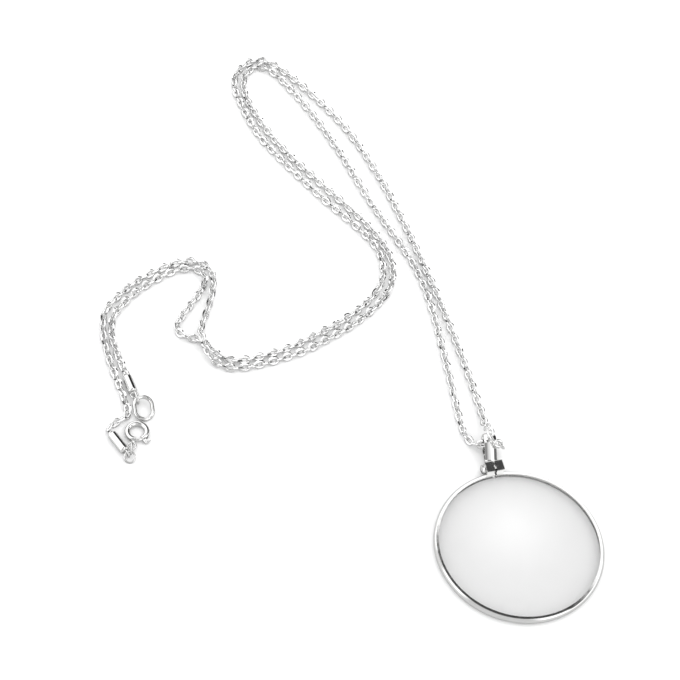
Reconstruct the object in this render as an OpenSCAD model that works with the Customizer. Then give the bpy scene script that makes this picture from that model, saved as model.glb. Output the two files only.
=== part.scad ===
// A round magnifier worn as a pendant, lying with its looped chain on a flat surface.
// Millimetres. The surface is z = 0, and the origin is the middle of the whole layout.

/* [Glass] */
// Diameter of the magnifying glass
lens_d = 40.3; // [40.1:0.1:40.3]
// Thickness of the glass at its edge
lens_edge = 0.95; // [0.6:0.05:1]
// Rise of the domed face over the edge
lens_bulge = 2.4; // [1:0.1:2.4]

/* [Ring] */
// Outer diameter of the metal ring
ring_d = 41.9; // [41.9:0.1:42.5]
// Height of the ring
ring_h = 2.2; // [2.2:0.1:2.6]
// Diameter of the opening in front of the glass
ring_opening_d = 39.6; // [38.4:0.1:39.6]
// Radius of the ring's rounded outer side
ring_round = 1.35; // [1.25:0.05:1.5]
// Thickness of the lip on each face that keeps the glass in
ring_lip = 0.5; // [0.4:0.05:0.5]
// Play between the glass and its groove
lens_play = 0.05; // [0.05:0.01:0.08]

/* [Clamp lugs and screw] */
// Width of each lug along the screw
lug_w = 2; // [1.8:0.1:2.2]
// Height of the lugs
lug_h = 3.6; // [3.2:0.1:4]
// Distance from the ring's centre to the lugs' outer face
lug_reach = 23.3; // [23.2:0.1:23.3]
// Width of the slit that the screw closes
slit_w = 0.5; // [0.3:0.05:0.6]
// Diameter of the screw's shank
screw_d = 1.2; // [1:0.1:1.3]
// Diameter of the screw's head
screw_head_d = 2.3; // [2:0.1:2.3]
// Thickness of the screw's head
screw_head_h = 1; // [0.8:0.1:1.2]

/* [Bail] */
// Width of the bail's strap
bail_w = 3; // [2.6:0.1:3.1]
// Thickness of the strap
bail_t = 0.5; // [0.4:0.05:0.5]
// Radius across the strap's domed outer face
bail_dome = 3.6; // [3.4:0.1:5]
// Outer radius of the bail's wide end
bail_far_r = 2.5; // [2.4:0.1:2.5]
// Outer radius of the bail's narrow end
bail_near_r = 0.8; // [0.7:0.1:0.8]

/* [Chain and caps] */
// Outer diameter of the chain
chain_d = 2; // [1.6:0.1:2]
// Outer diameter of the end caps
cap_d = 2.4; // [2.2:0.1:2.4]
// Length of the first end cap
cap_1_len = 4.8; // [4.4:0.1:4.8]
// Length of the second end cap
cap_2_len = 5.8; // [5.4:0.1:5.8]
// Wire of the eyes and of the fine jump rings
fine_wire_d = 0.44; // [0.36:0.02:0.44]

/* [Clasp] */
// Diameter from centre to centre of the clasp's tube
clasp_d = 4.8; // [4.7:0.05:4.8]
// Diameter of the clasp's tube
clasp_tube_d = 1.4; // [1.35:0.05:1.4]
// Diameter of the bore in the tube
clasp_bore_d = 0.86; // [0.8:0.02:0.9]
// Play between the bolt and its bore, at the radius
bolt_play = 0.05; // [0.04:0.01:0.08]

/* [Hidden] */
$fn = 64;
metal = "silver";
dome_fn = 720;
over = 1;

// Where the pendant lies: the ring's centre, and the turn of its own frame,
// whose Y axis runs from the ring's centre to the bail
ring_at = [45.8, -61.95];
pendant_turn = 22.2;

// Glass and ring
lens_r = lens_d / 2;
lens_z = ring_lip + lens_play;
lens_dome_r = (pow(lens_r, 2) + pow(lens_bulge, 2)) / (2 * lens_bulge);
groove_r = lens_r + lens_play;

// Lugs and screw, in the pendant's frame
lug_inner = 20.3;
lug_round = 0.4;
lug_slope = 0.12;
screw_y = 22.15;
screw_z = 1.8;
screw_play = 0.05;
screw_end = 0.25;
head_gap = 0.05;
head_slot_w = 0.35;
head_slot_depth = 0.4;
lug_span = slit_w / 2 + lug_w;

// Bail: the centres of its wide and narrow ends, as distance and height
bail_far = [29.1, 2.5];
bail_near = [24.25, 1.6];
// The bail sits a little askew, turned about this place between the lugs
bail_pivot = [0, 23.8];
bail_turn = -9;
bail_run = norm(bail_far - bail_near);
bail_slant = atan2(bail_far.y - bail_near.y, bail_far.x - bail_near.x);
bail_flare = acos((bail_near_r - bail_far_r) / bail_run);
bail_flat = sqrt(pow(bail_run, 2) - pow(bail_far_r - bail_near_r, 2));
// The narrow end is closed by a small domed barrel that the strap's two ends are soldered into
barrel_r = bail_near_r + 0.05;
barrel_w = bail_w + 0.1;
// The flats are a hair thinner than the wide end and reach a little into it
flat_inset = 0.02;
flat_lap = 0.1;
solder = [1.1, 0.7, 1.4];
solder_from = [0.4, 23.1, 0.9];

// Heights of the chain's and the caps' middles over the surface
chain_r = chain_d / 2;
cap_r = cap_d / 2;
chain_z = 1;
cap_z = 1.2;
chain_sides = 8;

// The first run of chain, from its cap to the bail
chain_1_floor = [
  [-56.5, -33, cap_z], [-57.5, -31.3, cap_z], [-60.5, -26], [-63, -20.5], [-63.7, -16.5],
  [-63.1, -12.8], [-58.5, -4.5], [-51.5, 2.8], [-48, 4.5], [-45.6, 4.6], [-43.9, 3.7],
  [-43, 2.1], [-43.1, -1], [-46.5, -11], [-47.3, -14], [-46.7, -16], [-45, -17.2], [-41, -17.8],
  [-38, -19.4], [-35, -21.4], [-32, -22.2], [-28.5, -21.4], [-17.5, -14.9], [-11.3, -9.3],
  [-5.6, -3.8], [1.7, 7], [2.9, 13.5], [1.5, 19.6], [-1.6, 24.2], [-6, 28.2], [-17, 36.5],
  [-27, 45], [-37, 54.5], [-44, 65], [-47, 71.5], [-47.3, 76.5], [-45.3, 80.8], [-42.3, 83],
  [-40, 83], [-36.5, 81.8], [-27, 75], [-14.5, 63.5], [-3, 48], [7.5, 30], [18.5, 8.5],
  [29, -15], [31.8, -22]
];
// Its last stretch in the bail's frame: over the bail, round its rim and into it
chain_1_bail = [
  [-0.3, 39.5, 1], [-0.25, 37, 1.4], [-0.2, 34.6, 2.6], [-0.2, 32.6, 4.2], [-0.15, 31, 5.7],
  [-0.1, 29.6, 6.3], [0, 28.4, 6.2], [0.5, 27.5, 5.85], [1.4, 27.1, 5.4], [2.3, 27.1, 4.7],
  [2.75, 27.3, 3.8], [2.65, 27.7, 2.95], [1.9, 28.3, 2.45], [1, 28.8, 2.3], [0, 28.8, 2.3]
];
// The second run of chain, from its cap to the bail, which crosses over the first once
chain_2_floor = [
  [-56.6, -50.5, cap_z], [-57.25, -49.85, cap_z], [-57.7, -48.7, 1.1], [-57.2, -47.5],
  [-55.6, -45.8], [-54.5, -44.5], [-54.2, -43.2], [-55.3, -40.6], [-62.4, -27.5],
  [-65.2, -20.5], [-66, -16.5], [-66, -13.5], [-64.8, -10], [-59.3, -1.5], [-52, 5.2],
  [-48, 6.9], [-45, 6.8], [-42.3, 5.3], [-40.7, 2], [-40.4, -6], [-41, -12.3, 1.2],
  [-40.9, -15.8, 2.4], [-40, -18.5, 3.3], [-38.2, -21.4, 2.5], [-35.5, -23.7, 1.2],
  [-32, -24.6], [-27, -23.2], [-14.5, -15.8], [-8, -9.8], [-1.8, -3.3], [4.3, 6.5],
  [5.5, 13.2], [4.2, 19.3], [0.6, 25.2], [-5, 30.9], [-18.2, 41.5], [-31.2, 52.5], [-42, 66],
  [-44.7, 72.5], [-44.7, 76.5], [-43.3, 79.5], [-41.2, 80.6], [-39.2, 80.5], [-36.3, 78.7],
  [-26, 68.4], [-15, 54.5], [-3.2, 37.2], [5.6, 25.6], [10.9, 18.1], [15.2, 9.6], [22, -10],
  [28.3, -29.8]
];
chain_2_bail = [
  [-5.2, 32.2, 1], [-4.4, 30.6, 1.15], [-3.5, 29.4, 1.6], [-2.4, 28.85, 2.1], [-1.2, 28.8, 2.3],
  [0, 28.8, 2.3]
];
chain_1_route = concat([for (p = chain_1_floor) on_floor(p)], [for (p = chain_1_bail) at_bail(p)]);
chain_2_route = concat([for (p = chain_2_floor) on_floor(p)], [for (p = chain_2_bail) at_bail(p)]);

// Caps and their eyes
cap_round = 0.6;
cap_socket_d = 1.8;
cap_socket_depth = 1.2;
eye_r = 0.85;

// Jump rings and end ring: radius to the wire's middle, wire, place and turn
link_1_r = 1.45;
link_1_wire = 0.56;
link_1_at = [-52.95, -39];
link_1_turn = -57;
end_ring_r = 2.2;
end_ring_side = 1.6;
end_ring_wire = 1;
end_ring_at = [-50.65, -41.15];
end_ring_turn = -70;
end_ring_rise = 125;
end_ring_tilt = 12;
link_2_r = 1.35;
link_2_at = [-51.15, -55.85];
link_2_rise = 90;
link_2_tilt = 27;
link_3_r = 1.5;
link_3_at = [-51.1, -53.75];
link_3_turn = -85;

// Clasp: its centre, and the directions of what is on its tube
clasp_at = [-50.9, -48.1];
clasp_r = clasp_d / 2;
clasp_z = clasp_tube_d / 2;
clasp_eye_r = 0.95;
clasp_eye_reach = 4.35;
clasp_eye_dir = -95;
// Height of the eye over the middle of the tube, and the neck that holds it
clasp_eye_z = 0.1;
clasp_neck = [0.5, 0.6, 0.44];
mouth_near_eye = -88;
mouth_near_lever = -49;
seat_depth = 14;
bore_end = -112;
travel = 45;
bolt_r = clasp_bore_d / 2 - bolt_play;
bolt_tip = -97;
bolt_tail = -33;
stem_dir = -42;
stem_w = 0.9;
stem_h = 0.6;
slot_h = 0.8;
slot_margin = 12;
tab_from = -48;
tab_to = -23;
tab_r = 3.75;
tab_t = 0.9;

function unit(v) = v / norm(v);
function on_floor(p) = [p.x, p.y, len(p) == 3 ? p.z : chain_z];
function at_pendant(p) = [
  ring_at.x + p.x * cos(pendant_turn) - p.y * sin(pendant_turn),
  ring_at.y + p.x * sin(pendant_turn) + p.y * cos(pendant_turn),
  p.z
];
function turned(p, a) = [p.x * cos(a) - p.y * sin(a), p.x * sin(a) + p.y * cos(a)];
function at_bail(p) =
  let (q = bail_pivot + turned([p.x, p.y] - bail_pivot, bail_turn)) at_pendant([q.x, q.y, p.z]);
// Direction of a route at its point i, halfway between its two neighbours there
function along(route, i) =
  i == 0 ? unit(route[1] - route[0]) :
  i >= len(route) - 1 ? unit(route[len(route) - 1] - route[len(route) - 2]) :
  unit(unit(route[i + 1] - route[i]) + unit(route[i] - route[i - 1]));
// Sideways direction at point i, carried along the route without twisting
function carried(n, t) = unit(n - (n * t) * t);
function sideways(route, i) =
  i == 0 ? unit(cross([0, 0, 1], along(route, 0))) :
  carried(sideways(route, i - 1), along(route, i));
function around(route, i, r, sides) =
  let (t = along(route, i), n = sideways(route, i), b = cross(t, n))
  [for (k = [0 : sides - 1]) route[i] + r * (cos(360 * k / sides) * n + sin(360 * k / sides) * b)];
function turn_of(from, to) = atan2(to.y - from.y, to.x - from.x);

// A tube swept along a route, closed at both ends
module tube(route, r, sides) {
  rings = len(route);
  points = [for (i = [0 : rings - 1]) each around(route, i, r, sides)];
  walls = [
    for (i = [0 : rings - 2], k = [0 : sides - 1])
      let (next = (k + 1) % sides)
      [i * sides + k, (i + 1) * sides + k, (i + 1) * sides + next, i * sides + next]
  ];
  first = [for (k = [0 : sides - 1]) k];
  last = [for (k = [sides - 1 : -1 : 0]) (rings - 1) * sides + k];
  polyhedron(points, concat(walls, [first, last]));
}

// A closed ring of round wire, lying in the XY plane
module wire_ring(r, wire) {
  rotate_extrude() translate([r, 0]) circle(d = wire);
}

// A wire ring with two straight sides, long along X
module long_ring(r, side, wire) {
  for (turn = [0, 180]) rotate([0, 0, turn]) {
    translate([side / 2, 0, 0])
      rotate([0, 0, -90])
        rotate_extrude(angle = 180) translate([r, 0]) circle(d = wire);
    translate([-side / 2, r, 0])
      rotate([0, 90, 0])
        cylinder(h = side, d = wire);
  }
}

// Stands a ring on its edge, with its plane along the direction turn
module upright(r, wire, at, turn) {
  translate([at.x, at.y, r + wire / 2])
    rotate([0, 0, turn])
      rotate([90, 0, 0])
        wire_ring(r, wire);
}

// Leans what lies flat so that it rises towards the direction rise
module leaning(at, z, rise, tilt) {
  translate([at.x, at.y, z])
    rotate([0, 0, rise])
      rotate([0, -tilt, 0])
        rotate([0, 0, -rise])
          children();
}

module in_pendant() {
  translate([ring_at.x, ring_at.y, 0])
    rotate([0, 0, pendant_turn])
      children();
}

// Turns what is drawn in XY so that X runs to the bail, Y up and Z along the screw
module across_pendant() {
  rotate([90, 0, 90]) children();
}

module lens() {
  color("lightcyan", 0.5)
    in_pendant()
      translate([0, 0, lens_z])
        rotate_extrude($fn = dome_fn)
          intersection() {
            square([lens_r, lens_edge + lens_bulge]);
            translate([0, lens_edge + lens_bulge - lens_dome_r])
              circle(r = lens_dome_r, $fn = dome_fn);
          }
}

// The ring's section: rounded outside, with a groove inside for the glass
module ring_section() {
  difference() {
    intersection() {
      translate([ring_opening_d / 2, 0])
        square([ring_d / 2, ring_h]);
      translate([ring_d / 2 - ring_round, ring_h / 2])
        circle(r = ring_round);
    }
    translate([ring_opening_d / 2 - over, ring_lip])
      square([groove_r - ring_opening_d / 2 + over, ring_h - 2 * ring_lip]);
  }
}

// The lugs' section, its top rising a little towards the bail
module lug_section() {
  difference() {
    union() {
      translate([lug_inner, 0])
        square([lug_reach - lug_inner, lug_h - lug_round]);
      translate([lug_inner, 0])
        square([lug_reach - lug_round - lug_inner, lug_h]);
      translate([lug_reach - lug_round, lug_h - lug_round])
        circle(r = lug_round);
    }
    polygon([
      [lug_inner - over, lug_h + over], [lug_inner - over, lug_h - lug_slope],
      [lug_inner, lug_h - lug_slope], [lug_reach - lug_round, lug_h], [lug_reach, lug_h + over]
    ]);
  }
}

module clamp_ring() {
  difference() {
    union() {
      rotate_extrude() ring_section();
      across_pendant()
        translate([0, 0, -lug_span])
          linear_extrude(2 * lug_span) lug_section();
    }
    translate([-slit_w / 2, lug_inner - 2 * over, -over])
      cube([slit_w, lug_reach - lug_inner + 3 * over, lug_h + 2 * over]);
    across_pendant()
      translate([screw_y, screw_z, -lug_span - over])
        cylinder(h = 2 * lug_span + 2 * over, d = screw_d + 2 * screw_play);
  }
}

// The strap's domed section for an outer radius r, with Y across the strap, drawn in by inset
module strap_section(r, inset) {
  intersection() {
    difference() {
      translate([r - bail_dome, 0]) circle(r = bail_dome - inset);
      translate([r - bail_dome, 0]) circle(r = bail_dome - bail_t + inset);
    }
    translate([r - 2 * bail_t - 0.5, inset - bail_w / 2])
      square([2 * bail_t + 0.5 + over, bail_w - 2 * inset]);
  }
}

module barrel_section() {
  intersection() {
    translate([barrel_r - bail_dome, 0]) circle(r = bail_dome);
    translate([0, -barrel_w / 2]) square([barrel_r + over, barrel_w]);
  }
}

// One flat of the strap, from the narrow end to the wide end, on the side dir
module strap_flat(dir) {
  translate([bail_near.x, bail_near.y, 0])
    rotate([0, 0, bail_slant + dir * bail_flare])
      rotate([dir * 90, 0, 0])
        linear_extrude(bail_flat + flat_lap) strap_section(bail_near_r, flat_inset);
}

module bail() {
  translate([bail_pivot.x, bail_pivot.y, 0])
    rotate([0, 0, bail_turn])
      translate([-bail_pivot.x, -bail_pivot.y, 0])
        across_pendant() {
          translate([bail_far.x, bail_far.y, 0])
            rotate([0, 0, bail_slant - bail_flare])
              rotate_extrude(angle = 2 * bail_flare) strap_section(bail_far_r, 0);
          translate([bail_near.x, bail_near.y, 0])
            rotate_extrude() barrel_section();
          strap_flat(1);
          strap_flat(-1);
        }
  translate(solder_from) cube(solder);
}

module frame() {
  color(metal)
    in_pendant() {
      clamp_ring();
      bail();
    }
}

module clamp_screw() {
  color(metal)
    in_pendant()
      across_pendant()
        translate([screw_y, screw_z, -lug_span - head_gap])
          difference() {
            union() {
              cylinder(h = 2 * lug_span + head_gap - screw_end, d = screw_d);
              translate([0, 0, -screw_head_h])
                rotate_extrude()
                  intersection() {
                    square([screw_head_d / 2, screw_head_h]);
                    translate([0, screw_head_d]) circle(r = screw_head_d);
                  }
            }
            translate([-screw_head_d, -head_slot_w / 2, -screw_head_h - over])
              cube([2 * screw_head_d, head_slot_w, head_slot_depth + over]);
          }
}

module chain_1() {
  color(metal) tube(chain_1_route, chain_r, chain_sides);
}

module chain_2() {
  color(metal) tube(chain_2_route, chain_r, chain_sides);
}

// A cap with its mouth at the start of a route, its eye turned by eye_turn
module end_cap(route, length, eye_turn) {
  color(metal)
    translate([route[0].x, route[0].y, cap_z])
      rotate([0, 0, turn_of(route[1], route[0])])
        rotate([eye_turn, 0, 0]) {
          rotate([0, 90, 0])
            difference() {
              rotate_extrude() union() {
                square([cap_r, length - cap_round]);
                square([cap_r - cap_round, length]);
                translate([cap_r - cap_round, length - cap_round]) circle(r = cap_round);
              }
              translate([0, 0, -over])
                cylinder(h = cap_socket_depth + over, d = cap_socket_d);
            }
          translate([length + eye_r, 0, 0]) wire_ring(eye_r, fine_wire_d);
        }
}

module end_cap_1() {
  end_cap(chain_1_route, cap_1_len, 0);
}

module end_cap_2() {
  end_cap(chain_2_route, cap_2_len, 90);
}

module link_ring_1() {
  color(metal) upright(link_1_r, link_1_wire, link_1_at, link_1_turn);
}

module end_ring() {
  half = end_ring_side / 2 * abs(cos(end_ring_rise - end_ring_turn));
  color(metal)
    leaning(end_ring_at, end_ring_wire / 2 + (end_ring_r + half) * sin(end_ring_tilt),
            end_ring_rise, end_ring_tilt)
      rotate([0, 0, end_ring_turn])
        long_ring(end_ring_r, end_ring_side, end_ring_wire);
}

module link_ring_2() {
  color(metal)
    leaning(link_2_at, fine_wire_d / 2 + link_2_r * sin(link_2_tilt), link_2_rise, link_2_tilt)
      wire_ring(link_2_r, fine_wire_d);
}

module link_ring_3() {
  color(metal) upright(link_3_r, fine_wire_d, link_3_at, link_3_turn);
}

// A stretch of something swept round the clasp's centre, between two directions
module clasp_arc(from, to) {
  rotate([0, 0, from])
    rotate_extrude(angle = to - from)
      children();
}

module clasp_ring() {
  color(metal)
    translate([clasp_at.x, clasp_at.y, clasp_z]) {
      difference() {
        clasp_arc(mouth_near_lever, mouth_near_eye + 360)
          translate([clasp_r, 0]) circle(d = clasp_tube_d);
        clasp_arc(mouth_near_lever - 1, bore_end + 360)
          translate([clasp_r, 0]) circle(d = clasp_bore_d);
        clasp_arc(mouth_near_eye - seat_depth, mouth_near_eye + 1)
          translate([clasp_r, 0]) circle(d = clasp_bore_d);
        clasp_arc(mouth_near_lever - 1, stem_dir + travel + slot_margin)
          translate([clasp_r, -slot_h / 2]) square([clasp_tube_d, slot_h]);
      }
      rotate([0, 0, clasp_eye_dir])
        translate([clasp_eye_reach, 0, clasp_eye_z]) {
          wire_ring(clasp_eye_r, fine_wire_d);
          translate([-clasp_eye_r - clasp_neck.x, -clasp_neck.y / 2, -clasp_neck.z / 2])
            cube(clasp_neck);
        }
    }
}

// The bolt that shuts the clasp's mouth, its stem through the slot and the thumb tab
module clasp_lever() {
  color(metal)
    translate([clasp_at.x, clasp_at.y, clasp_z]) {
      clasp_arc(bolt_tip, bolt_tail)
        translate([clasp_r, 0]) circle(r = bolt_r);
      rotate([0, 0, stem_dir])
        translate([clasp_r, -stem_w / 2, -stem_h / 2])
          cube([tab_r - clasp_r, stem_w, stem_h]);
      clasp_arc(tab_from, tab_to)
        translate([tab_r, 0]) circle(d = tab_t);
    }
}

lens();
frame();
clamp_screw();
chain_1();
chain_2();
end_cap_1();
end_cap_2();
link_ring_1();
end_ring();
link_ring_2();
link_ring_3();
clasp_ring();
clasp_lever();
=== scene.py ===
"""Looks of a round magnifier pendant on its looped chain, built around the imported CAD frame.

Metres, in the CAD frame: the surface is z = 0 and the origin is the middle of the layout. The chain's links replace
the two CAD tubes, and every other CAD node is shown with a material.
"""

import math
import random

import bmesh
import bpy
from mathutils import Matrix, Vector


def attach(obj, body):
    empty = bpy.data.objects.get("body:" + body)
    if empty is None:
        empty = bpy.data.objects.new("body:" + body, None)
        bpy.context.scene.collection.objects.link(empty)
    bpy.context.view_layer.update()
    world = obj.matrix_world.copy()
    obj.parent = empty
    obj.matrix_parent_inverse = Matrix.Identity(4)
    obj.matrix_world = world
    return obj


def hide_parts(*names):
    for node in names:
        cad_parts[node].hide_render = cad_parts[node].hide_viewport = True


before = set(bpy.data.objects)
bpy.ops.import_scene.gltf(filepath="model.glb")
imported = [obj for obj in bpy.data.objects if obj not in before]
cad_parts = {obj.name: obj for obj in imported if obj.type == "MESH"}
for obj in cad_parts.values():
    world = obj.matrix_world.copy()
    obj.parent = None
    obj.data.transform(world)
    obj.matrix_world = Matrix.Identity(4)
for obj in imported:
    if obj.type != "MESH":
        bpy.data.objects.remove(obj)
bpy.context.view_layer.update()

MM = 0.001

# ---- Camera: the photograph's viewpoint, with the lens and the sensor in millimetres
CAMERA_AT = Vector((-5.42, -307.16, 404)) * MM
CAMERA_ELEVATION = math.radians(53.6)
CAMERA_ROLL = math.radians(9.8)
CAMERA_LENS = 102.7
CAMERA_SENSOR = 36
CAMERA_CLIPS = 0.01, 20

# ---- Chain: an oval cable link in millimetres, the sides round its oval, and its facets
LINK_LENGTH = 3.1
LINK_WIDTH = 2.4
LINK_SIDES = 14
# The wire's section is hammered flat: its width in the link's plane at the link's ends and sides, and its thickness.
# It holds about as much metal as a round wire of 0.54.
LINK_END_WIDTH = 0.55
LINK_SIDE_WIDTH = 0.88
LINK_THICKNESS = 0.46
# Corners of the section, from outward: share of half the width, and of half the thickness. On some links the two
# faces that meet at the first corner are cut flat, and all the others are rounded.
WIRE_CORNERS = [(1, 0), (0.45, 1), (-0.45, 0.95), (-1, 0), (-0.45, -0.95), (0.45, -1)]
CUT_SHARE = 0.55
# Distance between links, which is fitted to the route, and from the route's start to the first link
LINK_PITCH = 1.9175
FIRST_LINK = 0.55
# Each link's roll about the route, to one side or the other, and how far it strays from there and tips
LINK_ROLL = math.radians(45)
LINK_ROLL_PLAY = math.radians(8)
LINK_TIP_PLAY = math.radians(5)
# A route that climbs more steeply than this carries its sideways direction along instead of taking the level one
STEEP = 0.7
# Distance between points on the smoothed route
ROUTE_STEP = 0.1
# Seeds of the play in the two runs of links
LINK_SEEDS = 1, 2

# ---- The chain's route, as in the CAD, in millimetres
# Where the pendant lies and how far it is turned, and the point about which its bail is turned further
RING_AT = Vector((45.8, -61.95, 0))
PENDANT_TURN = math.radians(22.2)
BAIL_PIVOT = Vector((0, 23.8, 0))
BAIL_TURN = math.radians(-9)
# Heights of the chain's and the caps' middles; a point on the floor without z is at the chain's
CHAIN_Z = 1
CAP_Z = 1.2
CHAIN_1_FLOOR = [
    (-56.5, -33, CAP_Z), (-57.5, -31.3, CAP_Z), (-60.5, -26), (-63, -20.5), (-63.7, -16.5), (-63.1, -12.8),
    (-58.5, -4.5), (-51.5, 2.8), (-48, 4.5), (-45.6, 4.6), (-43.9, 3.7), (-43, 2.1), (-43.1, -1), (-46.5, -11),
    (-47.3, -14), (-46.7, -16), (-45, -17.2), (-41, -17.8), (-38, -19.4), (-35, -21.4), (-32, -22.2),
    (-28.5, -21.4), (-17.5, -14.9), (-11.3, -9.3), (-5.6, -3.8), (1.7, 7), (2.9, 13.5), (1.5, 19.6),
    (-1.6, 24.2), (-6, 28.2), (-17, 36.5), (-27, 45), (-37, 54.5), (-44, 65), (-47, 71.5), (-47.3, 76.5),
    (-45.3, 80.8), (-42.3, 83), (-40, 83), (-36.5, 81.8), (-27, 75), (-14.5, 63.5), (-3, 48), (7.5, 30),
    (18.5, 8.5), (29, -15), (31.8, -22),
]
CHAIN_1_BAIL = [
    (-0.3, 39.5, 1), (-0.25, 37, 1.4), (-0.2, 34.6, 2.6), (-0.2, 32.6, 4.2), (-0.15, 31, 5.7), (-0.1, 29.6, 6.3),
    (0, 28.4, 6.2), (0.5, 27.5, 5.85), (1.4, 27.1, 5.4), (2.3, 27.1, 4.7), (2.75, 27.3, 3.8), (2.65, 27.7, 2.95),
    (1.9, 28.3, 2.45), (1, 28.8, 2.3), (0, 28.8, 2.3),
]
CHAIN_2_FLOOR = [
    (-56.6, -50.5, CAP_Z), (-57.25, -49.85, CAP_Z), (-57.7, -48.7, 1.1), (-57.2, -47.5), (-55.6, -45.8),
    (-54.5, -44.5), (-54.2, -43.2), (-55.3, -40.6), (-62.4, -27.5), (-65.2, -20.5), (-66, -16.5), (-66, -13.5),
    (-64.8, -10), (-59.3, -1.5), (-52, 5.2), (-48, 6.9), (-45, 6.8), (-42.3, 5.3), (-40.7, 2), (-40.4, -6),
    (-41, -12.3, 1.2), (-40.9, -15.8, 2.4), (-40, -18.5, 3.3), (-38.2, -21.4, 2.5), (-35.5, -23.7, 1.2),
    (-32, -24.6), (-27, -23.2), (-14.5, -15.8), (-8, -9.8), (-1.8, -3.3), (4.3, 6.5), (5.5, 13.2), (4.2, 19.3),
    (0.6, 25.2), (-5, 30.9), (-18.2, 41.5), (-31.2, 52.5), (-42, 66), (-44.7, 72.5), (-44.7, 76.5),
    (-43.3, 79.5), (-41.2, 80.6), (-39.2, 80.5), (-36.3, 78.7), (-26, 68.4), (-15, 54.5), (-3.2, 37.2),
    (5.6, 25.6), (10.9, 18.1), (15.2, 9.6), (22, -10), (28.3, -29.8),
]
CHAIN_2_BAIL = [
    (-5.2, 32.2, 1), (-4.4, 30.6, 1.15), (-3.5, 29.4, 1.6), (-2.4, 28.85, 2.1), (-1.2, 28.8, 2.3), (0, 28.8, 2.3),
]


def on_floor(point):
    """A route point on the surface, at the chain's own height where it gives none."""
    return Vector((*point, CHAIN_Z)[:3])


def at_bail(point):
    """A route point that is given in the bail's frame."""
    in_pendant = BAIL_PIVOT + Matrix.Rotation(BAIL_TURN, 3, "Z") @ (Vector(point) - BAIL_PIVOT)
    return RING_AT + Matrix.Rotation(PENDANT_TURN, 3, "Z") @ in_pendant


# ---- Camera

def add_camera():
    """Looks towards +Y and down, rolled a little about its own axis."""
    forward = Vector((0, math.cos(CAMERA_ELEVATION), -math.sin(CAMERA_ELEVATION)))
    level_up = Vector((0, math.sin(CAMERA_ELEVATION), math.cos(CAMERA_ELEVATION)))
    level_right = Vector((1, 0, 0))
    right = level_right * math.cos(CAMERA_ROLL) + level_up * math.sin(CAMERA_ROLL)
    up = level_up * math.cos(CAMERA_ROLL) - level_right * math.sin(CAMERA_ROLL)
    data = bpy.data.cameras.new("camera")
    data.lens = CAMERA_LENS
    data.sensor_width = CAMERA_SENSOR
    data.clip_start, data.clip_end = CAMERA_CLIPS
    camera = bpy.data.objects.new("camera", data)
    turn = Matrix((right, up, -forward)).transposed().to_4x4()
    camera.matrix_world = Matrix.Translation(CAMERA_AT) @ turn
    bpy.context.scene.collection.objects.link(camera)
    bpy.context.scene.camera = camera


# ---- Node helpers

NOISE_ROUGHNESS = 0.55


def new_material(name, **values):
    """A material, its node tree and its main shader, whose input sockets by name are set to values."""
    material = bpy.data.materials.new(name)
    material.use_nodes = True
    tree = material.node_tree
    shader = tree.nodes["Principled BSDF"]
    for key, value in values.items():
        shader.inputs[key.replace("_", " ")].default_value = value
    return material, tree, shader


def node(tree, kind, **values):
    """A new node with its properties, and its input sockets by name, set to values."""
    made = tree.nodes.new(kind)
    for key, value in values.items():
        if hasattr(made, key):
            setattr(made, key, value)
        else:
            made.inputs[key.replace("_", " ")].default_value = value
    return made


def place(tree, scale=(1, 1, 1)):
    """Object coordinates in metres, stretched by scale."""
    coordinates = node(tree, "ShaderNodeTexCoord")
    mapping = node(tree, "ShaderNodeMapping", Scale=scale)
    tree.links.new(coordinates.outputs["Object"], mapping.inputs["Vector"])
    return mapping.outputs["Vector"]


def ramp(tree, factor, stops):
    """Colour of factor on a ramp of (position, colour) stops."""
    made = node(tree, "ShaderNodeValToRGB")
    elements = made.color_ramp.elements
    stops = list(stops)
    while len(elements) < len(stops):
        elements.new(0.5)
    for element, (at, colour) in zip(elements, stops):
        element.position = at
        element.color = (*colour, 1)
    tree.links.new(factor, made.inputs["Fac"])
    return made.outputs["Color"]


def noise(tree, vector, scale, detail):
    made = node(tree, "ShaderNodeTexNoise", Scale=scale, Detail=detail, Roughness=NOISE_ROUGHNESS)
    tree.links.new(vector, made.inputs["Vector"])
    return made.outputs["Fac"]


def remap(tree, value, source, target=(0, 1), **values):
    """value taken from the range source to the range target, and held in it."""
    made = node(tree, "ShaderNodeMapRange", **values)
    for key, bound in zip(("From Min", "From Max", "To Min", "To Max"), (*source, *target)):
        made.inputs[key].default_value = bound
    tree.links.new(value, made.inputs["Value"])
    return made.outputs["Result"]


def calculate(tree, operation, *terms):
    """The result of a math node, whose terms are numbers or output sockets."""
    made = node(tree, "ShaderNodeMath", operation=operation)
    for socket, term in zip(made.inputs, terms):
        if isinstance(term, (int, float)):
            socket.default_value = term
        else:
            tree.links.new(term, socket)
    return made.outputs["Value"]


# ---- Materials

# Where the glass's painted shade is lightest and how far it reaches, in millimetres, and the painted shade on the way
# there: grey painted into the glass's colour towards its rim stands for the shade seen through the lens
GLASS_IOR = 1.5
GLASS_LEAST_SHADED = Vector((43.8, -57.6, 0))
GLASS_SHADE_REACH = 24
GLASS_PAINTED_SHADE = [(0, (0.913,) * 3), (0.27, (0.888,) * 3), (0.55, (0.86,) * 3), (0.8, (0.856,) * 3)]

# The floor's own tone, how far its grain strays from it, and how much of it metal mirrors
FLOOR_TONE = 0.81
FLOOR_GRAIN = 0.01
FLOOR_IN_METAL = 0.635
FLOOR_ROUGHNESS = 0.6
FLOOR_SPECULAR = 0.1

# Noise by its scale per metre and its detail: the metal's clouds, smears and handling marks, and the floor's grain
CLOUD_NOISE = 90, 3
SMEAR_NOISE = 700, 4
MARK_NOISE = 9000, 2
GRAIN_NOISE = 300, 2
# The values of the noise between which it goes from one end of its effect to the other
CLOUD_SPAN = 0.35, 0.65
SMEAR_SPAN = 0.35, 0.7
GRAIN_SPAN = 0.3, 0.7
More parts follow.
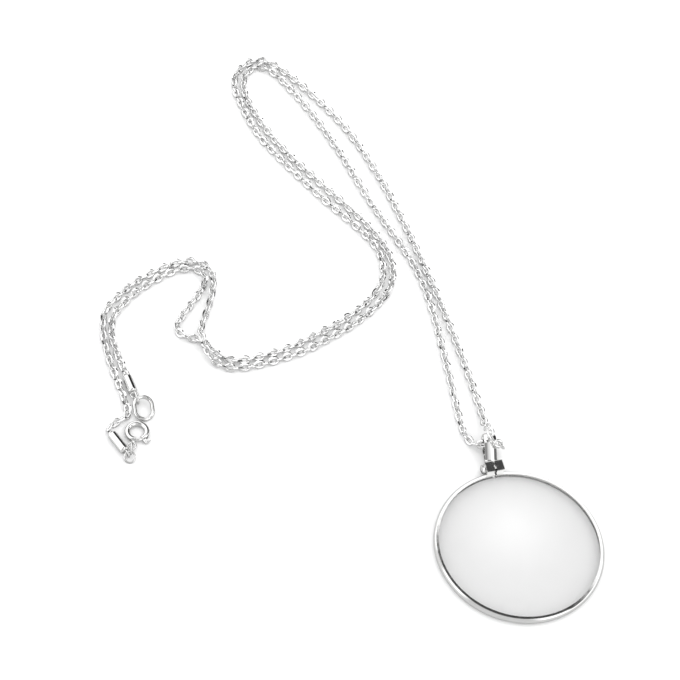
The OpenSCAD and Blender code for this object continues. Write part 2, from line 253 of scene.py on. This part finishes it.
# Handling marks are drawn out along Y
MARK_STRETCH = 1, 0.08, 1

# Tone from dark to light and roughness from shine to worn, and how deep the handling marks are, in metres
CHAIN_SILVER = dict(light=(0.9, 0.9, 0.895), dark=(0.82, 0.82, 0.82), shine=0.03, worn=0.07, mark_depth=0.0000006)
BRIGHT_SILVER = dict(light=(0.79, 0.79, 0.785), dark=(0.74, 0.74, 0.735), shine=0.03, worn=0.08, mark_depth=0.0000004)


def metal(name, light, dark, shine, worn, mark_depth):
    """Bright silver with a cloudy tone, smears and fine handling marks."""
    material, tree, shader = new_material(name, Metallic=1)
    cloud = noise(tree, place(tree), *CLOUD_NOISE)
    tree.links.new(ramp(tree, cloud, zip(CLOUD_SPAN, (dark, light))), shader.inputs["Base Color"])
    smear = noise(tree, place(tree), *SMEAR_NOISE)
    tree.links.new(remap(tree, smear, SMEAR_SPAN, (shine, worn)), shader.inputs["Roughness"])
    marks = noise(tree, place(tree, MARK_STRETCH), *MARK_NOISE)
    bump = node(tree, "ShaderNodeBump", Strength=1, Distance=mark_depth)
    tree.links.new(marks, bump.inputs["Height"])
    tree.links.new(bump.outputs["Normal"], shader.inputs["Normal"])
    return material


def clear_glass():
    """Colourless optical glass with painted shade in its colour, greyer towards its rim. Light falls through it
    unbent.
    """
    material, tree, shader = new_material("clear_glass", Transmission_Weight=1, IOR=GLASS_IOR, Roughness=0)
    offset = node(tree, "ShaderNodeVectorMath", operation="DISTANCE")
    flat = node(tree, "ShaderNodeVectorMath", operation="MULTIPLY")
    flat.inputs[1].default_value = (1, 1, 0)
    tree.links.new(place(tree), flat.inputs[0])
    tree.links.new(flat.outputs["Vector"], offset.inputs[0])
    offset.inputs[1].default_value = GLASS_LEAST_SHADED * MM
    reach = calculate(tree, "DIVIDE", offset.outputs["Value"], GLASS_SHADE_REACH * MM)
    # Painted shade: the glass's colour greys from its middle to its rim, and so does the light it lets through to the
    # floor beneath
    painted_shade = ramp(tree, reach, GLASS_PAINTED_SHADE)
    tree.links.new(painted_shade, shader.inputs["Base Color"])
    path = node(tree, "ShaderNodeLightPath")
    passing = calculate(tree, "MAXIMUM", path.outputs["Is Shadow Ray"], path.outputs["Is Diffuse Ray"])
    clear = node(tree, "ShaderNodeBsdfTransparent")
    tree.links.new(painted_shade, clear.inputs["Color"])
    mix = node(tree, "ShaderNodeMixShader")
    tree.links.new(passing, mix.inputs["Fac"])
    tree.links.new(shader.outputs["BSDF"], mix.inputs[1])
    tree.links.new(clear.outputs["BSDF"], mix.inputs[2])
    tree.links.new(mix.outputs["Shader"], tree.nodes["Material Output"].inputs["Surface"])
    return material


def mirrored(tree):
    """1 on rays that polished metal mirrors, and 0 on the camera's own and on those through the glass."""
    path = node(tree, "ShaderNodeLightPath")
    return calculate(tree, "SUBTRACT", path.outputs["Is Glossy Ray"], path.outputs["Is Singular Ray"])


def white_floor():
    """White to the camera and a light grey where metal mirrors it, as under a photograph's cleared white ground."""
    material, tree, shader = new_material(
        "white_floor", Roughness=FLOOR_ROUGHNESS, Specular_IOR_Level=FLOOR_SPECULAR
    )
    grain = noise(tree, place(tree), *GRAIN_NOISE)
    tone = remap(tree, grain, GRAIN_SPAN, (FLOOR_TONE - FLOOR_GRAIN, FLOOR_TONE + FLOOR_GRAIN))
    dimmed = calculate(tree, "MULTIPLY_ADD", mirrored(tree), FLOOR_IN_METAL - 1, 1)
    seen = calculate(tree, "MULTIPLY", tone, dimmed)
    tree.links.new(seen, shader.inputs["Base Color"])
    return material


# ---- Chain

def mesh_object(name, mesh):
    """An object in the scene from a finished bmesh, which is freed."""
    data = bpy.data.meshes.new(name)
    mesh.to_mesh(data)
    mesh.free()
    made = bpy.data.objects.new(name, data)
    bpy.context.scene.collection.objects.link(made)
    return made


def smooth_route(points):
    """Points about ROUTE_STEP apart on the centripetal Catmull-Rom curve through points."""
    ends = [2 * points[0] - points[1], *points, 2 * points[-1] - points[-2]]
    curve = []
    for p0, p1, p2, p3 in zip(ends, ends[1:], ends[2:], ends[3:]):
        t1 = (p1 - p0).length ** 0.5
        t2 = t1 + (p2 - p1).length ** 0.5
        t3 = t2 + (p3 - p2).length ** 0.5
        count = max(2, round((p2 - p1).length / ROUTE_STEP))
        for i in range(count):
            t = t1 + (t2 - t1) * i / count
            a1 = p0 * ((t1 - t) / t1) + p1 * (t / t1)
            a2 = p1 * ((t2 - t) / (t2 - t1)) + p2 * ((t - t1) / (t2 - t1))
            a3 = p2 * ((t3 - t) / (t3 - t2)) + p3 * ((t - t2) / (t3 - t2))
            b1 = a1 * ((t2 - t) / t2) + a2 * (t / t2)
            b2 = a2 * ((t3 - t) / (t3 - t1)) + a3 * ((t - t1) / (t3 - t1))
            curve.append(b1 * ((t2 - t) / (t2 - t1)) + b2 * ((t - t1) / (t2 - t1)))
    return [*curve, points[-1]]


def walk(curve, start, pitch, count):
    """count places along curve, the first at start, as (point, direction)."""
    places = []
    done, i = 0, 0
    for n in range(count):
        target = start + n * pitch
        while i < len(curve) - 2 and done + (curve[i + 1] - curve[i]).length < target:
            done += (curve[i + 1] - curve[i]).length
            i += 1
        along = (curve[i + 1] - curve[i]).normalized()
        places.append((curve[i] + along * (target - done), along))
    return places


def route_length(curve):
    return sum((b - a).length for a, b in zip(curve, curve[1:]))


def oval_link():
    """Vertices of one link, long along X and flat in XY, ring by ring round its wire."""
    rings = []
    for i in range(LINK_SIDES):
        angle = 2 * math.pi * (i + 0.5) / LINK_SIDES
        width = LINK_END_WIDTH + (LINK_SIDE_WIDTH - LINK_END_WIDTH) * math.sin(angle) ** 2
        half_length, half_width = (LINK_LENGTH - width) / 2, (LINK_WIDTH - width) / 2
        middle = Vector((half_length * math.cos(angle), half_width * math.sin(angle), 0))
        outward = Vector((math.cos(angle) / half_length, math.sin(angle) / half_width, 0)).normalized()
        rings.append([
            middle + outward * out * width / 2 + Vector((0, 0, up * LINK_THICKNESS / 2))
            for out, up in WIRE_CORNERS
        ])
    return rings


def chain_piece(name, places, first_roll, seed):
    """The links at places as one object, each turned a quarter about the route from the one before."""
    chance = random.Random(seed)
    link = oval_link()
    mesh = bmesh.new()
    level = Vector((0, 0, 1))
    side = Vector((0, 1, 0))
    for n, (point, along) in enumerate(places):
        if abs(along.z) < STEEP:
            side = level.cross(along).normalized()
        else:
            side = (side - along * side.dot(along)).normalized()
        roll = LINK_ROLL if (n + first_roll) % 2 else -LINK_ROLL
        roll += chance.uniform(-LINK_ROLL_PLAY, LINK_ROLL_PLAY)
        lift = along.cross(side)
        along = (along + lift * math.tan(chance.uniform(-LINK_TIP_PLAY, LINK_TIP_PLAY))).normalized()
        lift = along.cross(side)
        across = side * math.cos(roll) + lift * math.sin(roll)
        turn = Matrix((along, across, along.cross(across))).transposed()
        rings = [[mesh.verts.new((point + turn @ v) * MM) for v in ring] for ring in link]
        cut = chance.random() < CUT_SHARE
        for here, there in zip(rings, rings[1:] + rings[:1]):
            for k in range(len(WIRE_CORNERS)):
                after = (k + 1) % len(WIRE_CORNERS)
                face = mesh.faces.new((here[k], there[k], there[after], here[after]))
                face.smooth = not cut or k != 0 and after != 0
    mesh.normal_update()
    return mesh_object(name, mesh)


def add_chains(material):
    """Both runs of links, with one pitch along both, so that their last links meet in the bail like any others."""
    curve_1 = smooth_route([on_floor(p) for p in CHAIN_1_FLOOR] + [at_bail(p) for p in CHAIN_1_BAIL])
    curve_2 = smooth_route([on_floor(p) for p in CHAIN_2_FLOOR] + [at_bail(p) for p in CHAIN_2_BAIL])
    length_1, length_2 = route_length(curve_1), route_length(curve_2)
    spans = round((length_1 + length_2 - 2 * FIRST_LINK) / LINK_PITCH)
    pitch = (length_1 + length_2 - 2 * FIRST_LINK) / spans
    count_1 = math.floor((length_1 - FIRST_LINK) / pitch) + 1
    count_2 = spans + 1 - count_1
    links_1 = chain_piece("chain_links_1", walk(curve_1, FIRST_LINK, pitch, count_1), 0, LINK_SEEDS[0])
    links_2 = chain_piece("chain_links_2", walk(curve_2, FIRST_LINK, pitch, count_2), spans % 2, LINK_SEEDS[1])
    for piece, stood_for in ((links_1, "chain_1"), (links_2, "chain_2")):
        piece.data.materials.append(material)
        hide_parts(stood_for)
        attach(piece, "necklace")


# ---- Stage: floor, studio and lamp

FLOOR_SIZE = 6
FLOOR_SQUARES = 4

# The lamp, in metres and watts: a soft disc at the far right that is itself unseen in metal and glass
LAMP_AT = Vector((0.55, 0.35, 0.8))
LAMP_SIZE = 0.5
LAMP_POWER = 1

# The brightness of the white room round the part
STUDIO_LIGHT = 1.55
# Dark or dim places that the metal mirrors: azimuth from +Y to +X, elevation, softness in degrees, and brightness
CARDS = [
    ((-14, 26), (58.45, 74), 0.25, 0.05),
    ((-179, 181), (77, 95), 2, 0.08),
    ((92, 112), (16, 48), 4, 0.12),
    ((150, 225), (34, 60), 8, 0.2),
    ((146, 228), (-12, 33), 8, 0.5),
    ((-4, 60), (0, 50), 3, 0.02),
    ((52, 74), (22, 44), 3, 0.05),
    ((-175, -95), (66, 80), 2, 0.15),
    ((-96, -76), (4, 26), 4, 0.5),
]


def add_floor():
    mesh = bmesh.new()
    bmesh.ops.create_grid(mesh, x_segments=FLOOR_SQUARES, y_segments=FLOOR_SQUARES, size=FLOOR_SIZE / 2)
    floor = mesh_object("floor", mesh)
    floor.data.materials.append(white_floor())


def band(tree, value, low, high, soft):
    """1 where value is between low and high, fading out over soft on both sides."""
    over = remap(tree, value, (low - soft, low + soft), interpolation_type="SMOOTHSTEP")
    under = remap(tree, value, (high + soft, high - soft), interpolation_type="SMOOTHSTEP")
    return calculate(tree, "MULTIPLY", over, under)


def add_studio():
    """A white room, whose dark cards show in the polished metal alone."""
    world = bpy.data.worlds.new("studio")
    world.use_nodes = True
    bpy.context.scene.world = world
    tree = world.node_tree
    background = tree.nodes["Background"]
    background.inputs["Color"].default_value = (1, 1, 1, 1)
    coordinates = node(tree, "ShaderNodeTexCoord")
    split = node(tree, "ShaderNodeSeparateXYZ")
    tree.links.new(coordinates.outputs["Generated"], split.inputs["Vector"])
    x, y, z = (split.outputs[axis] for axis in "XYZ")
    azimuth = calculate(tree, "MULTIPLY", calculate(tree, "ARCTAN2", x, y), 180 / math.pi)
    elevation = calculate(tree, "MULTIPLY", calculate(tree, "ARCSINE", z), 180 / math.pi)
    in_metal = mirrored(tree)
    light = STUDIO_LIGHT
    for azimuths, elevations, soft, level in CARDS:
        middle, half = sum(azimuths) / 2, (azimuths[1] - azimuths[0]) / 2
        turned = calculate(tree, "WRAP", calculate(tree, "SUBTRACT", azimuth, middle), 180, -180)
        across, upward = band(tree, turned, -half, half, soft), band(tree, elevation, *elevations, soft)
        card = calculate(tree, "MULTIPLY", calculate(tree, "MULTIPLY", across, upward), in_metal)
        light = calculate(tree, "MULTIPLY", light, calculate(tree, "MULTIPLY_ADD", card, level - 1, 1))
    tree.links.new(light, background.inputs["Strength"])


def add_lamp():
    data = bpy.data.lights.new("lamp", "AREA")
    data.shape = "DISK"
    data.size = LAMP_SIZE
    data.energy = LAMP_POWER
    lamp = bpy.data.objects.new("lamp", data)
    lamp.location = LAMP_AT
    lamp.rotation_mode = "QUATERNION"
    lamp.rotation_quaternion = LAMP_AT.to_track_quat("Z", "Y")
    lamp.visible_glossy = False
    lamp.visible_transmission = False
    bpy.context.scene.collection.objects.link(lamp)


def dress(names, material):
    """Shows the CAD nodes with material."""
    for name in names:
        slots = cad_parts[name].data.materials
        slots.clear()
        slots.append(material)


bpy.context.scene.view_settings.view_transform = "Standard"
add_camera()
add_chains(metal("chain_silver", **CHAIN_SILVER))
dress([
    "frame", "clamp_screw", "end_cap_1", "end_cap_2", "link_ring_1", "end_ring", "link_ring_2", "link_ring_3",
    "clasp_ring", "clasp_lever",
], metal("bright_silver", **BRIGHT_SILVER))
dress(["lens"], clear_glass())
add_floor()
add_studio()
add_lamp()
